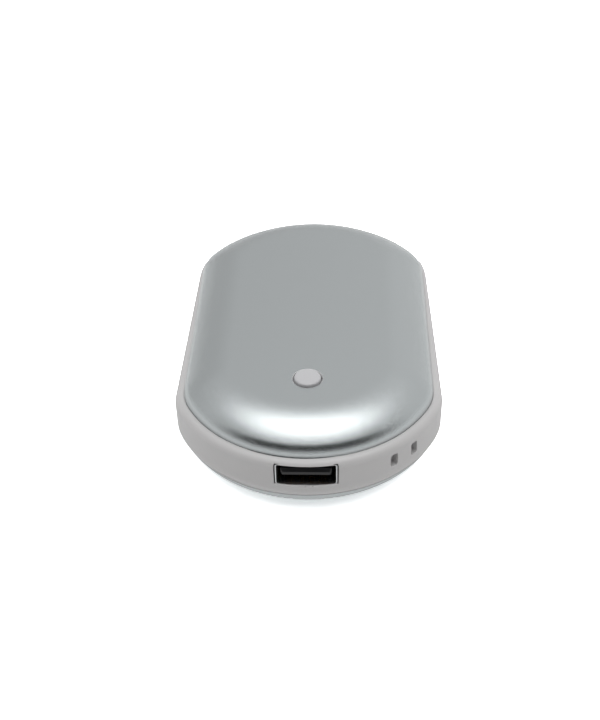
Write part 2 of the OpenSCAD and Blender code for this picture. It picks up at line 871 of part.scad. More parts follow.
module thermistor_leads() {
    spread = 0.6;
    lead_top = body_height - shell_wall - heater_thickness - thermistor_bead[2];
    color(steel) for (side = [-1, 1]) translate([thermistor_x + side * spread, lead_row, board_top])
        cylinder(r = thin_wire_radius, h = lead_top - board_top);
}

top_shell();
bottom_shell();
mid_frame();
button_cap();
switch_body();
switch_dome();
switch_plunger();
output_port_shell();
output_port_tongue();
output_port_contacts();
inlet_shell();
inlet_tongue();
inlet_contacts();
top_heater();
bottom_heater();
top_insulation();
bottom_insulation();
top_shell_tape();
bottom_shell_tape();
top_tray();
bottom_tray();
top_tray_screws();
bottom_tray_screws();
lower_cell();
upper_cell();
cell_tape();
cell_bond();
cell_pad();
cell_tabs();
battery_board();
main_board();
main_board_screws();
inductor();
capacitors();
control_chips();
indicator_lights();
thermal_fuse();
charge_board();
charge_board_screws();
battery_leads();
charge_leads();
top_heater_leads();
bottom_heater_leads();
thermistor();
thermistor_leads();
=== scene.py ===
from math import atan2, cos, degrees, pi, radians, sin, sqrt

import bmesh
import bpy
from mathutils import Matrix, Vector


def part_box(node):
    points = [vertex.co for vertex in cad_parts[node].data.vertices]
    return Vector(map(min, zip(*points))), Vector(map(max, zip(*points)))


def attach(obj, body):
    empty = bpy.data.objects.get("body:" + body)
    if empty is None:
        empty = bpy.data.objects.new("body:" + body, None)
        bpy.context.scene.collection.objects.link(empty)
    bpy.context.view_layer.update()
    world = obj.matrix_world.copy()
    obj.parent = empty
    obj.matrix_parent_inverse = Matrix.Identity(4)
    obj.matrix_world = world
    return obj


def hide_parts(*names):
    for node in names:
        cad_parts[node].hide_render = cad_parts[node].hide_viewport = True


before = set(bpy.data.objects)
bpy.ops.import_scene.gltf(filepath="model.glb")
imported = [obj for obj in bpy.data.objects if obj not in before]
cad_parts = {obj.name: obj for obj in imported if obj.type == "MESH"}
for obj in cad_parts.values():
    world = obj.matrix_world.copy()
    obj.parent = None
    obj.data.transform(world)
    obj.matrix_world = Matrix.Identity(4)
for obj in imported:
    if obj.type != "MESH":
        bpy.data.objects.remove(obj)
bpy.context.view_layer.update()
MM = 0.001

# Mid frame: the white band that carries everything, moulded in ABS with a fine spark
# eroded texture. Both edges are rounded, and a ledge inside each takes a shell's rim. The
# ports and two slots for a lanyard go through its ends, and four lugs take the tray screws.
frame_low, frame_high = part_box("mid_frame")
half_width = frame_high.x / MM
half_length = frame_high.y / MM
CORNER_RADIUS = 15.7
# A corner arc meets the end's wide arc on the line through their centres, which rises 8 in 15
CORNER_SLOPE = 8 / 15
END_SHARE = 17 / 15
corner_x = half_width - CORNER_RADIUS
corner_rise = corner_x * CORNER_SLOPE
end_radius = CORNER_RADIUS + corner_x * END_SHARE
end_y = half_length - end_radius
OUTLINE_POINTS = 360
# Points closer than this, in mm, are welded, and edges sharper than this, in degrees, stay hard
WELD = 0.002
SHARP_ANGLE = 30


def add_node(tree, kind, inputs=(), **settings):
    """Adds a node with its settings, and links or sets its inputs."""
    node = tree.nodes.new(kind)
    for name, value in settings.items():
        setattr(node, name, value)
    for key, value in dict(inputs).items():
        if isinstance(value, bpy.types.NodeSocket):
            tree.links.new(value, node.inputs[key])
        else:
            node.inputs[key].default_value = value
    return node


def result(tree, kind, inputs=(), **settings):
    """The first output of a new node."""
    return add_node(tree, kind, inputs, **settings).outputs[0]


def linear(code):
    """Linear colour of an sRGB hex value."""
    parts = [int(code[i:i + 2], 16) / 255 for i in (1, 3, 5)]
    return [c / 12.92 if c <= 0.04045 else ((c + 0.055) / 1.055) ** 2.4 for c in parts] + [1]


def new_material(name, code, roughness, **settings):
    """A material with its main values on the shader's own sockets. Returns it, its tree and shader."""
    material = bpy.data.materials.new(name)
    material.use_nodes = True
    shader = material.node_tree.nodes["Principled BSDF"]
    shader.inputs["Base Color"].default_value = linear(code)
    shader.inputs["Roughness"].default_value = roughness
    for key, value in settings.items():
        shader.inputs[key.replace("_", " ")].default_value = value
    return material, material.node_tree, shader


def in_mm(tree, stretch=(1, 1, 1)):
    """The piece's own coordinates in mm, for patterns at their real size."""
    coordinates = add_node(tree, "ShaderNodeTexCoord")
    factors = tuple(f / MM for f in stretch)
    return result(tree, "ShaderNodeVectorMath", {0: coordinates.outputs["Object"], 1: factors},
                  operation="MULTIPLY")


def bumped(tree, shader, height, strength, depth):
    """Lets a pattern's height tilt the surface, to a depth in mm."""
    bump = add_node(tree, "ShaderNodeBump",
                    {"Height": height, "Strength": strength, "Distance": depth * MM})
    tree.links.new(bump.outputs["Normal"], shader.inputs["Normal"])


def maths(tree, operation, *values):
    """The output of a math node on sockets or numbers."""
    return result(tree, "ShaderNodeMath", dict(enumerate(values)), operation=operation)


def ranged(tree, value, start=(0.0, 1.0), end=(0.0, 1.0), smooth=False):
    """A value carried from one range to another, along a smooth step where asked."""
    limits = {"From Min": start[0], "From Max": start[1], "To Min": end[0], "To Max": end[1]}
    return result(tree, "ShaderNodeMapRange", {"Value": value, **limits},
                  interpolation_type="SMOOTHSTEP" if smooth else "LINEAR")


def noise(tree, place, size, **settings):
    """Noise with grains of a size in mm."""
    pattern = add_node(tree, "ShaderNodeTexNoise", {"Vector": place, "Scale": 1 / size, **settings})
    return pattern.outputs["Fac"]


def mixed(tree, shader, factor, code, other):
    """Lets a surface's colour wander between two tones."""
    tone = add_node(tree, "ShaderNodeMix", {"Factor": factor, "A": linear(code), "B": linear(other)},
                    data_type="RGBA")
    tree.links.new(tone.outputs[2], shader.inputs["Base Color"])


def placed(name, data):
    """An object in the scene for a mesh, a lamp or a camera."""
    piece = bpy.data.objects.new(name, data)
    bpy.context.scene.collection.objects.link(piece)
    return piece


def arc(centre, radius, start, end, steps):
    """Points along an arc of a section, with angles in degrees."""
    return [(centre[0] + radius * cos(radians(start + (end - start) * i / steps)),
             centre[1] + radius * sin(radians(start + (end - start) * i / steps)))
            for i in range(steps + 1)]


def meshed(name, work):
    """A mesh from a work mesh, which is used up."""
    mesh = bpy.data.meshes.new(name)
    work.to_mesh(mesh)
    work.free()
    return mesh


def section_object(name, points, closed):
    """A section as a row of edges: x is minus the distance in from the outline, y the height."""
    mesh = bpy.data.meshes.new(name)
    edges = [(i, i + 1) for i in range(len(points) - 1)] + ([(len(points) - 1, 0)] if closed else [])
    mesh.from_pydata([(x * MM, y * MM, 0) for x, y in points], edges, [])
    return placed(name, mesh)


# The upper part of the outline is moved sideways over these ranges of y, x (twice) and z in
# mm. It starts low on the side, and fades out towards the middle and at the widest line.
GROWTH_RANGES = ((-36, 2), (8, 28.7), (28.8, 30.7), (9, 14.5))


def new_tree(name, **sockets):
    """An empty geometry tree with its inputs and one output. Returns it and its inputs."""
    tree = bpy.data.node_groups.new(name, "GeometryNodeTree")
    for label, kind in sockets.items():
        tree.interface.new_socket(label.replace("_", " "), in_out="INPUT", socket_type="NodeSocket" + kind)
    tree.interface.new_socket("Piece", in_out="OUTPUT", socket_type="NodeSocketGeometry")
    return tree, add_node(tree, "NodeGroupInput").outputs


def end_tree(tree, shape, material):
    """Ends a tree with real geometry of one material."""
    real = result(tree, "GeometryNodeRealizeInstances", {"Geometry": shape})
    painted = result(tree, "GeometryNodeSetMaterial", {"Geometry": real, "Material": material})
    add_node(tree, "NodeGroupOutput", {"Piece": painted})
    return tree


def outline_tree():
    """A tree that carries a section round the plan outline, and closes its flats with caps."""
    lengths = ("Corner_X", "Corner_Rise", "Corner_Radius", "End_Y", "Cap_Inset", "Cap_Height",
               "Cap_Thickness", "Front_Growth", "Rear_Growth")
    tree, given = new_tree("Section round the outline", Section="Geometry",
                           **dict.fromkeys(lengths, "Float"), Points="Int", Capped="Bool",
                           Material="Material")
    step = maths(tree, "DIVIDE", 2 * pi, given["Points"])
    late = maths(tree, "ADD", result(tree, "GeometryNodeInputIndex"), 0.5)
    turn = maths(tree, "MULTIPLY", late, step)
    across = maths(tree, "COSINE", turn)
    along = maths(tree, "SINE", turn)
    near = maths(tree, "ABSOLUTE", across)
    far = maths(tree, "ABSOLUTE", along)
    corner = maths(tree, "LESS_THAN", far, maths(tree, "MULTIPLY", near, CORNER_SLOPE))
    side = maths(tree, "SIGN", across)
    end = maths(tree, "SIGN", along)
    centre_x = maths(tree, "MULTIPLY", given["Corner X"], corner)
    centre_x = maths(tree, "MULTIPLY", centre_x, side)
    centre_y = maths(tree, "MULTIPLY_ADD", given["Corner Rise"], corner, given["End Y"])
    centre_y = maths(tree, "MULTIPLY", centre_y, end)
    at_end = maths(tree, "SUBTRACT", 1.0, corner)
    extra = maths(tree, "MULTIPLY", given["Corner X"], END_SHARE)
    radius = maths(tree, "MULTIPLY_ADD", extra, at_end, given["Corner Radius"])
    x = maths(tree, "MULTIPLY_ADD", radius, across, centre_x)
    y = maths(tree, "MULTIPLY_ADD", radius, along, centre_y)
    place = result(tree, "ShaderNodeCombineXYZ", {"X": x, "Y": y})
    circle = result(tree, "GeometryNodeCurvePrimitiveCircle", {"Resolution": given["Points"]})
    outline = result(tree, "GeometryNodeSetPosition", {"Geometry": circle, "Position": place})
    outline = result(tree, "GeometryNodeSetCurveNormal", {"Curve": outline}, mode="Z_UP")
    turned = result(tree, "GeometryNodeTransform", {"Geometry": given["Section"], "Scale": (1, -1, 1)})
    section = result(tree, "GeometryNodeMeshToCurve", {"Mesh": turned})
    swept = result(tree, "GeometryNodeCurveToMesh", {"Curve": outline, "Profile Curve": section})
    inward = maths(tree, "MULTIPLY", given["Cap Inset"], -1.0)
    drawn_in = result(tree, "ShaderNodeVectorMath",
                      {0: result(tree, "GeometryNodeInputNormal"), "Scale": inward}, operation="SCALE")
    edge = result(tree, "GeometryNodeSetPosition", {"Geometry": outline, "Offset": drawn_in})
    flat = result(tree, "GeometryNodeFillCurve", {"Curve": edge}, mode="NGONS")
    capped = add_node(tree, "GeometryNodeJoinGeometry", {"Geometry": swept})
    low = maths(tree, "SUBTRACT", given["Cap Height"], given["Cap Thickness"])
    for level in (given["Cap Height"], low):
        height = result(tree, "ShaderNodeCombineXYZ", {"Z": level})
        cap = result(tree, "GeometryNodeTransform", {"Geometry": flat, "Translation": height})
        tree.links.new(cap, capped.inputs[0])
    chosen = result(tree, "GeometryNodeSwitch",
                    {"Switch": given["Capped"], "False": swept, "True": capped.outputs[0]},
                    input_type="GEOMETRY")
    axes = add_node(tree, "ShaderNodeSeparateXYZ", {0: result(tree, "GeometryNodeInputPosition")}).outputs
    along_y, inward_x, rim_x, upward_z = [[v * MM for v in limits] for limits in GROWTH_RANGES]
    growth = ranged(tree, axes["Y"], along_y, (given["Front Growth"], given["Rear Growth"]), True)
    out = maths(tree, "ABSOLUTE", axes["X"])
    inner = ranged(tree, out, inward_x, (0.0, growth), True)
    rim = ranged(tree, out, rim_x, (inner, 0.0))
    level = ranged(tree, axes["Z"], upward_z, (0.0, rim), True)
    amount = maths(tree, "MULTIPLY", level, maths(tree, "SIGN", axes["X"]))
    shift = result(tree, "ShaderNodeCombineXYZ", {"X": amount})
    grown = result(tree, "GeometryNodeSetPosition", {"Geometry": chosen, "Offset": shift})
    welded = result(tree, "GeometryNodeMergeByDistance", {"Geometry": grown, "Distance": WELD * MM})
    return end_tree(tree, welded, given["Material"])


def formed(piece, tree, **values):
    """Runs a tree on a piece, with its inputs set by name, and leaves a plain mesh."""
    modifier = piece.modifiers.new("Form", "NODES")
    modifier.node_group = tree
    for label, value in values.items():
        socket = tree.interface.items_tree[label.replace("_", " ")]
        modifier[socket.identifier] = value
    return flattened(piece)


def flattened(piece):
    """Turns a piece and its modifiers into a plain mesh."""
    seen = piece.evaluated_get(bpy.context.evaluated_depsgraph_get())
    mesh = bpy.data.meshes.new_from_object(seen)
    piece.modifiers.clear()
    piece.data = mesh
    return piece


def smoothed(piece):
    """Welds a mesh, turns its faces outwards, and shades it smooth between sharp edges."""
    work = bmesh.new()
    work.from_mesh(piece.data)
    bmesh.ops.remove_doubles(work, verts=work.verts, dist=WELD * MM)
    bmesh.ops.dissolve_degenerate(work, edges=work.edges, dist=WELD * MM)
    bmesh.ops.recalc_face_normals(work, faces=work.faces)
    if work.calc_volume(signed=True) < 0:
        bmesh.ops.reverse_faces(work, faces=work.faces)
    work.to_mesh(piece.data)
    work.free()
    piece.data.shade_smooth()
    piece.data.set_sharp_from_angle(angle=radians(SHARP_ANGLE))
    return piece


def cut(piece, *others, operation="DIFFERENCE"):
    """Takes other solids out of a piece, or fuses them to it, and deletes them."""
    for other in others:
        modifier = piece.modifiers.new("Cut", "BOOLEAN")
        modifier.operation = operation
        modifier.solver = "EXACT"
        modifier.object = other
    flattened(piece)
    for other in others:
        bpy.data.objects.remove(other)


def lofted(name, rings, hollow=False):
    """A mesh through rings of points in metres, all with the same count. Its ends are closed,
    or a hollow one's last ring joins its first."""
    count = len(rings[0])
    faces = [(i * count + k, i * count + (k + 1) % count, (i + 1) % len(rings) * count + (k + 1) % count,
              (i + 1) % len(rings) * count + k)
             for i in range(len(rings) - (0 if hollow else 1)) for k in range(count)]
    if not hollow:
        faces += [tuple(range(count))[::-1], tuple((len(rings) - 1) * count + k for k in range(count))]
    mesh = bpy.data.meshes.new(name)
    mesh.from_pydata([tuple(p) for ring in rings for p in ring], [], faces)
    return smoothed(placed(name, mesh))


def rounded_rectangle(width, height, radius, steps=6, side_step=0.6):
    """Points round a rectangle with round corners, in mm, with its sides divided too."""
    points = []
    for quarter, (x, z) in enumerate([(1, 1), (-1, 1), (-1, -1), (1, -1)]):
        centre = (x * (width / 2 - radius), z * (height / 2 - radius))
        points += arc(centre, radius, 90 * quarter, 90 * quarter + 90, steps)
        length = (width if quarter % 2 == 0 else height) - 2 * radius
        count = max(1, round(length / side_step))
        travel = [(-1, 0), (0, -1), (1, 0), (0, 1)][quarter]
        points += [(points[-1][0] + travel[0] * length * i / count,
                    points[-1][1] + travel[1] * length * i / count) for i in range(1, count)]
    return points


# The section of the band, from the inside of its lower lip round the outside and back. Its
# side curves in towards the lower edge, which leaves the seam there in sight.
LOWER_EDGE = 1.0
LOWER_SWEEP = 40
UPPER_EDGE = 1.9
WALL = 4.2
SEAM_GAP = 0.15
LOWER_OPENING = 0.09
CLOSED_SEAM = 0.03
SHELL_WALL = 1.0
LEDGE_DEPTH = 0.4
LIP_GAP = 0.25
UPPER_LIP = 0.9
LOWER_LIP = 0.35
SOFT_EDGE = 0.05
LOWER_RADIUS = LOWER_EDGE / (1 - cos(radians(LOWER_SWEEP)))
upper_seam = frame_high.z / MM - UPPER_LIP
lower_seam = frame_low.z / MM + LOWER_LIP
upper_lip = UPPER_EDGE + SEAM_GAP + SHELL_WALL + LIP_GAP
lower_lip = LOWER_EDGE + SEAM_GAP + SHELL_WALL + LIP_GAP
upper_mouth = UPPER_EDGE + SEAM_GAP - CLOSED_SEAM
lower_turn = lower_seam + LOWER_RADIUS * sin(radians(LOWER_SWEEP))
band_section = (
    [(-WALL, lower_seam - LOWER_LIP), (-lower_lip, lower_seam - LOWER_LIP),
     (-lower_lip, lower_seam + LEDGE_DEPTH), (-LOWER_EDGE, lower_seam + LEDGE_DEPTH)]
    + arc((SOFT_EDGE + LOWER_OPENING - LOWER_EDGE, lower_seam + SOFT_EDGE), SOFT_EDGE, 180,
          360 - LOWER_SWEEP, 5)
    + arc((-LOWER_RADIUS, lower_turn), LOWER_RADIUS, -LOWER_SWEEP, 0, 16)
    + arc((-UPPER_EDGE, upper_seam - UPPER_EDGE), UPPER_EDGE, 0, 90, 18)
    + arc((-upper_mouth + SOFT_EDGE, upper_seam - SOFT_EDGE), SOFT_EDGE, 90, 180, 3)
    + [(-upper_mouth, upper_seam - LEDGE_DEPTH), (-upper_lip, upper_seam - LEDGE_DEPTH),
       (-upper_lip, upper_seam + UPPER_LIP), (-WALL, upper_seam + UPPER_LIP)])

# Moulded ABS is a soft white with a low, even gloss. Its fine texture, drawn at 0.35 mm,
# shows only as a slight break-up of the gloss.
white_abs, tree, shader = new_material("moulded white ABS", "#c2c1c1", 0.42)
place = in_mm(tree)
bumped(tree, shader, noise(tree, place, 0.35, Detail=3.0), 0.4, 0.01)
mixed(tree, shader, noise(tree, place, 14, Detail=2.0), "#bfbebe", "#c5c4c4")

section_tree = outline_tree()
outline_sizes = dict(Corner_X=corner_x * MM, Corner_Rise=corner_rise * MM,
                     Corner_Radius=CORNER_RADIUS * MM, End_Y=end_y * MM, Points=OUTLINE_POINTS)
FRONT_GROWTH = -0.35
REAR_GROWTH = 0.9
side_growth = dict(Front_Growth=FRONT_GROWTH * MM, Rear_Growth=REAR_GROWTH * MM)
mid_frame = formed(section_object("frame_band", band_section, closed=True), section_tree,
                   Material=white_abs, Capped=False, **side_growth, **outline_sizes)
smoothed(mid_frame)

# The shell doesn't fill its groove evenly: the seam stands open left of the front's middle
OPEN_SEAM_X = -3.5
OPEN_SEAM_REACH = 9.0
for point in mid_frame.data.vertices:
    x, y, z = point.co / MM
    inset = end_radius - sqrt(x * x + (y + end_y) ** 2)
    if z > upper_seam - LEDGE_DEPTH - 0.1 and y < -end_y and upper_mouth - 0.3 < inset < upper_mouth + 0.1:
        opened = max(0, 1 - ((x - OPEN_SEAM_X) / OPEN_SEAM_REACH) ** 2) ** 0.5
        away = Vector((x, y + end_y, 0)).normalized()
        point.co += away * (SEAM_GAP - CLOSED_SEAM) * opened * MM

FIRST_FLARE = 20


def surface_inset(z):
    """How far the band's rounded edges are drawn in at a height."""
    above = min(max(0, z - upper_seam + UPPER_EDGE), UPPER_EDGE)
    below = min(max(0, lower_turn - z), LOWER_RADIUS)
    upper = UPPER_EDGE - sqrt(UPPER_EDGE ** 2 - above ** 2)
    return upper + LOWER_RADIUS - sqrt(LOWER_RADIUS ** 2 - below ** 2)


def mouth(width, height, corner, flare, depth, angle, middle, end_side=-1, sill=None):
    """A cutter for an opening in the end of the frame. Its mouth is rounded and follows the
    frame's surface, so each ring but the first and last lies at one depth behind that. A sill
    is the larger rounding of its lower side."""
    turns = [FIRST_FLARE + (90 - FIRST_FLARE) * i / 5 for i in range(6)]
    curved = [(flare - flare * sin(radians(a)), flare - flare * cos(radians(a))) for a in turns]
    outside = 0.25
    spread = curved[0][0] + (curved[0][1] + outside) / sin(radians(FIRST_FLARE)) * cos(radians(FIRST_FLARE))
    rings = []
    for grow, inset, flat in ([(spread, -1, True), (spread, -outside, False)]
                              + [(g, i, False) for g, i in curved] + [(0, depth, True)]):
        ring = []
        for u, z in rounded_rectangle(width, height, corner):
            low_share = min(max(0, (corner - height / 2 - z) / corner), 1)
            rounder = 1 + low_share * (sill / flare - 1) if sill else 1
            u += grow * (u / (width / 2))
            z += grow * rounder * (z / (height / 2))
            bow = 0 if flat else surface_inset(middle + z) + inset * rounder
            out = end_radius - inset if flat else sqrt((end_radius - bow) ** 2 - u * u)
            x = u * cos(radians(angle)) + out * sin(radians(angle))
            y = out * cos(radians(angle)) - u * sin(radians(angle))
            ring.append((x * MM, end_side * (end_y + y) * MM, (middle + z) * MM))
        rings.append(ring)
    return lofted("mouth cutter", rings)


PORT_HEIGHT = 12.4
OPENING_HEIGHT = 5.3
port_opening = mouth(width=13.85, height=OPENING_HEIGHT, corner=0.35, flare=0.1, depth=6, angle=0,
                     middle=PORT_HEIGHT, sill=0.35)
inlet_opening = mouth(width=8, height=3.3, corner=0.5, flare=0.2, depth=6, angle=0, middle=PORT_HEIGHT,
                      end_side=1)
cut(mid_frame, port_opening, inlet_opening)

# The pocket behind the port's lip takes the steel sleeve
sleeve_low, sleeve_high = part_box("output_port_shell")
POCKET = (13.7, 5.8)
POCKET_CORNER = 0.3
POCKET_DEPTH = 5
POCKET_GAP = 0.05
pocket_front = sleeve_low.y / MM - POCKET_GAP
pocket_rings = [[(x * MM, y * MM, (PORT_HEIGHT + z) * MM)
                 for x, z in rounded_rectangle(*POCKET, POCKET_CORNER)]
                for y in (pocket_front, pocket_front + POCKET_DEPTH)]
# A groove in the sill, just in front of the sleeve, leaves a thin rim. Both cutters in the
# sill run up past it to the same height.
RIM = 0.34
GROOVE_HALF = 6.0
GROOVE_DEPTH = 0.6
CUTTER_RISE = 0.4
sill_level = PORT_HEIGHT - OPENING_HEIGHT / 2


def front_at(x, inset):
    """Y of the outline's front end at an x, drawn in by an inset, in mm."""
    return -(end_y + sqrt((end_radius - inset) ** 2 - x * x))


groove_rings = []
for i in range(17):
    x = GROOVE_HALF * (i / 8 - 1)
    front = min(front_at(x, RIM), pocket_front - 0.01)
    groove_rings.append([(x * MM, y * MM, (sill_level + z) * MM)
                         for y, z in ((front, -GROOVE_DEPTH), (pocket_front + 0.5, -GROOVE_DEPTH),
                                      (pocket_front + 0.5, CUTTER_RISE), (front, CUTTER_RISE))])
# Two small notches in the rim, beside the sleeve's folded joint
NOTCHES = (-0.1, 1.4)
NOTCH_HALF = 0.15
NOTCH_DEPTH = 0.3
notches = [lofted("notch cutter", [[(x * MM, (pocket_front + y) * MM, (sill_level + z) * MM)
                                    for y, z in ((-3, -NOTCH_DEPTH), (0.3, -NOTCH_DEPTH),
                                                 (0.3, CUTTER_RISE), (-3, CUTTER_RISE))]
                                   for x in (middle - NOTCH_HALF, middle + NOTCH_HALF)])
           for middle in NOTCHES]
cut(mid_frame, lofted("pocket cutter", pocket_rings), lofted("groove cutter", groove_rings), *notches)

# Lanyard slots, and the passage behind the bar between them
SLOT_ANGLES = (35.6, 46.1)
SLOT_HEIGHT = 11.85
SLOT_DEPTH = 3.2
SLOT_BAR = 1.6
PASSAGE_HALF = 1.6
slots = [mouth(width=1.9, height=3.2, corner=0.45, flare=0.15, depth=SLOT_DEPTH, angle=angle,
               middle=SLOT_HEIGHT) for angle in SLOT_ANGLES]
passage = []
for i in range(13):
    angle = radians(SLOT_ANGLES[0] + (SLOT_ANGLES[1] - SLOT_ANGLES[0]) * i / 12)
    passage.append([((end_radius - depth) * sin(angle) * MM,
                     -(end_y + (end_radius - depth) * cos(angle)) * MM, (SLOT_HEIGHT + z) * MM)
                    for depth, z in ((SLOT_BAR, -PASSAGE_HALF), (SLOT_DEPTH, -PASSAGE_HALF),
                                     (SLOT_DEPTH, PASSAGE_HALF), (SLOT_BAR, PASSAGE_HALF))])
cut(mid_frame, *slots, lofted("passage cutter", passage))

# Lugs for the tray screws, each a boss on a short arm from the wall, with broken edges
LUG_PLACE = (21.7, 24)
LUG_RADIUS = 2.2
LUG_ARM = 3.2
LUG_ROOT = half_width - WALL + 1.3
LUG_LEVELS = (8.5, 14)
LUG_BORE = 0.82
LUG_BREAK = 0.15


def lug_outline(side, end, inset):
    """Plan of a lug: a round boss and the arm that runs out to the wall."""
    radius = LUG_RADIUS - inset
    half_arm = LUG_ARM / 2 - inset
    meet = degrees(atan2(half_arm, sqrt(radius ** 2 - half_arm ** 2)))
    plan = arc((0, 0), radius, meet, 360 - meet, 40)
    plan += [(LUG_ROOT - LUG_PLACE[0], -half_arm), (LUG_ROOT - LUG_PLACE[0], half_arm)]
    return [(side * (LUG_PLACE[0] + x) * MM, end * (LUG_PLACE[1] + y) * MM) for x, y in plan]


low, high = LUG_LEVELS
lug_steps = [(low, LUG_BREAK), (low + LUG_BREAK, 0), (high - LUG_BREAK, 0), (high, LUG_BREAK)]
corners = [(side, end) for side in (-1, 1) for end in (-1, 1)]
cut(mid_frame, *[lofted("lug", [[(x, y, z * MM) for x, y in lug_outline(side, end, inset)]
                                for z, inset in lug_steps]) for side, end in corners], operation="UNION")
turns = [2 * pi * k / 32 for k in range(32)]
cut(mid_frame, *[lofted("lug bore", [[(side * (LUG_PLACE[0] + LUG_BORE * cos(a)) * MM,
                                       end * (LUG_PLACE[1] + LUG_BORE * sin(a)) * MM, z * MM)
                                      for a in turns] for z in (low - 1, high + 1)])
                 for side, end in corners])
smoothed(mid_frame)
mid_frame.name = "frame_band"
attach(mid_frame, "root")
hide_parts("mid_frame")

# Shells: two dishes of 1 mm aluminium sheet, deep drawn, bead blasted and clear anodised.
# Each drops into the groove inside the frame's edge, and tape behind the flat holds it.
top_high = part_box("top_shell")[1]
TOP = top_high.z / MM
FLAT_INSET = 12.6
TOP_SHOULDER = 3.9
BOTTOM_SHOULDER = 3.9
FLAT_LAP = 0.6


def shell_section(edge, rise, top, shoulder):
    """Section of a shell the way up that it has on top: a rim, a tight shoulder and a wide arc."""
    run = FLAT_INSET - edge
    wide = ((run - shoulder) ** 2 + rise ** 2 - shoulder ** 2) / (2 * (rise - shoulder))
    seam = top - rise
    change = degrees(atan2(wide - rise, run - shoulder))
    shoulder_centre = (-edge - shoulder, seam)
    wide_centre = (-FLAT_INSET, top - wide)
    foot = seam - LEDGE_DEPTH
    return ([(-FLAT_INSET - FLAT_LAP, top)] + arc(wide_centre, wide, 90, change, 36)
            + arc(shoulder_centre, shoulder, change, 0, 30)[1:]
            + arc((-edge - SOFT_EDGE, foot + SOFT_EDGE), SOFT_EDGE, 0, -90, 4)
            + [(-edge - SHELL_WALL, foot)]
            + arc(shoulder_centre, shoulder - SHELL_WALL, 0, change, 20)
            + arc(wide_centre, wide - SHELL_WALL, change, 90, 24)[1:]
            + [(-FLAT_INSET - FLAT_LAP, top - SHELL_WALL)])


# Blasted and anodised aluminium is a satin grey metal. The beads leave dimples of about
# 0.1 mm, drawn here a little larger, which break up the edges of a bright reflection.
blasted, tree, shader = new_material("bead blasted anodised aluminium", "#b9bebf", 0.22, Metallic=1.0)
bumped(tree, shader, noise(tree, in_mm(tree), 0.16, Detail=1.0, Roughness=0.6), 1.0, 0.05)

shell_sizes = dict(Material=blasted, Capped=True, Cap_Inset=(FLAT_INSET + FLAT_LAP) * MM,
                   Cap_Thickness=SHELL_WALL * MM, **outline_sizes)
top_section = shell_section(UPPER_EDGE + SEAM_GAP, TOP - upper_seam, TOP, TOP_SHOULDER)
top_shell = formed(section_object("shell_top", top_section, closed=False), section_tree,
                   Cap_Height=TOP * MM, **side_growth, **shell_sizes)
smoothed(top_shell)

# The button's hole, with its edge broken
BUTTON_Y = sum(v.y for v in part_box("button_cap")) / 2 / MM
HOLE_RADIUS = 3.4
HOLE_BREAK = 0.06
hole_profile = [(HOLE_RADIUS, TOP - 2), (HOLE_RADIUS, TOP - HOLE_BREAK),
                (HOLE_RADIUS + HOLE_BREAK + 1, TOP + 1)]
hole_rings = [[(r * cos(2 * pi * k / 96) * MM, (BUTTON_Y + r * sin(2 * pi * k / 96)) * MM, z * MM)
               for k in range(96)] for r, z in hole_profile]
cut(top_shell, lofted("hole cutter", hole_rings))
smoothed(top_shell)
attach(top_shell, "root")
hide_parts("top_shell")

bottom_section = shell_section(LOWER_EDGE + SEAM_GAP + LOWER_OPENING, lower_seam, TOP, BOTTOM_SHOULDER)
bottom_shell = formed(section_object("shell_bottom", bottom_section, closed=False), section_tree,
                      Cap_Height=TOP * MM, **shell_sizes)
bottom_shell.data.transform(Matrix.Translation((0, 0, TOP * MM)) @ Matrix.Scale(-1, 4, (0, 0, 1)))
smoothed(bottom_shell)
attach(bottom_shell, "root")
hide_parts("bottom_shell")

# Button cap: one white, slightly translucent moulding with a flange that keeps it behind
# the shell and a stem that stands on the switch's plunger.
CAP_RADIUS = 3.0
CAP_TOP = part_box("button_cap")[1].z / MM
CAP_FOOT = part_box("button_cap")[0].z / MM
FLANGE = (3.9, TOP - SHELL_WALL - 0.15, 0.8)
STEM_RADIUS = 1.6
CAP_EDGE = 0.45
cap_profile = ([(0, CAP_FOOT), (STEM_RADIUS - 0.1, CAP_FOOT), (STEM_RADIUS, CAP_FOOT + 0.1),
                (STEM_RADIUS, FLANGE[1] - FLANGE[2]), (FLANGE[0], FLANGE[1] - FLANGE[2]),
                (FLANGE[0], FLANGE[1]), (CAP_RADIUS, FLANGE[1])]
               + arc((CAP_RADIUS - CAP_EDGE, CAP_TOP - 0.06 - CAP_EDGE), CAP_EDGE, 0, 84, 8)
               + [(1.2, CAP_TOP - 0.015), (0, CAP_TOP)])
cap_white, tree, shader = new_material("white translucent cap plastic", "#bebec0", 0.35)
bumped(tree, shader, noise(tree, in_mm(tree), 0.5, Detail=2.0), 0.2, 0.01)


def turned(name, profile, centre, steps=64):
    """A round piece from a profile of (radius, height) points in mm, on a vertical axis."""
    work = bmesh.new()
    rows = []
    for r, z in profile:
        count = steps if r > 0 else 1
        rows.append([work.verts.new(((centre[0] + r * cos(2 * pi * k / steps)) * MM,
                                     (centre[1] + r * sin(2 * pi * k / steps)) * MM, z * MM))
                     for k in range(count)])
    for a, b in zip(rows, rows[1:]):
        for k in range(steps):
            corners = [a[k % len(a)], a[(k + 1) % len(a)], b[(k + 1) % len(b)], b[k % len(b)]]
            work.faces.new(list(dict.fromkeys(corners)))
    return smoothed(placed(name, meshed(name, work)))


cap = turned("cap_moulding", cap_profile, (0, BUTTON_Y))
cap.data.materials.append(cap_white)
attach(cap, "button")
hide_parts("button_cap")

# Output port: a sleeve of bright tin plated steel, folded round a black nylon tongue. Leaves
# cut from its walls grip the plug, and four legs hold it to the board.


def uneven(tree, shader, size, gloss, stretch=(1, 1, 1)):
    """Lets grains of a size in mm carry the roughness between two values."""
    grain = noise(tree, in_mm(tree, stretch), size, Detail=3.0)
    tree.links.new(ranged(tree, grain, end=gloss), shader.inputs["Roughness"])


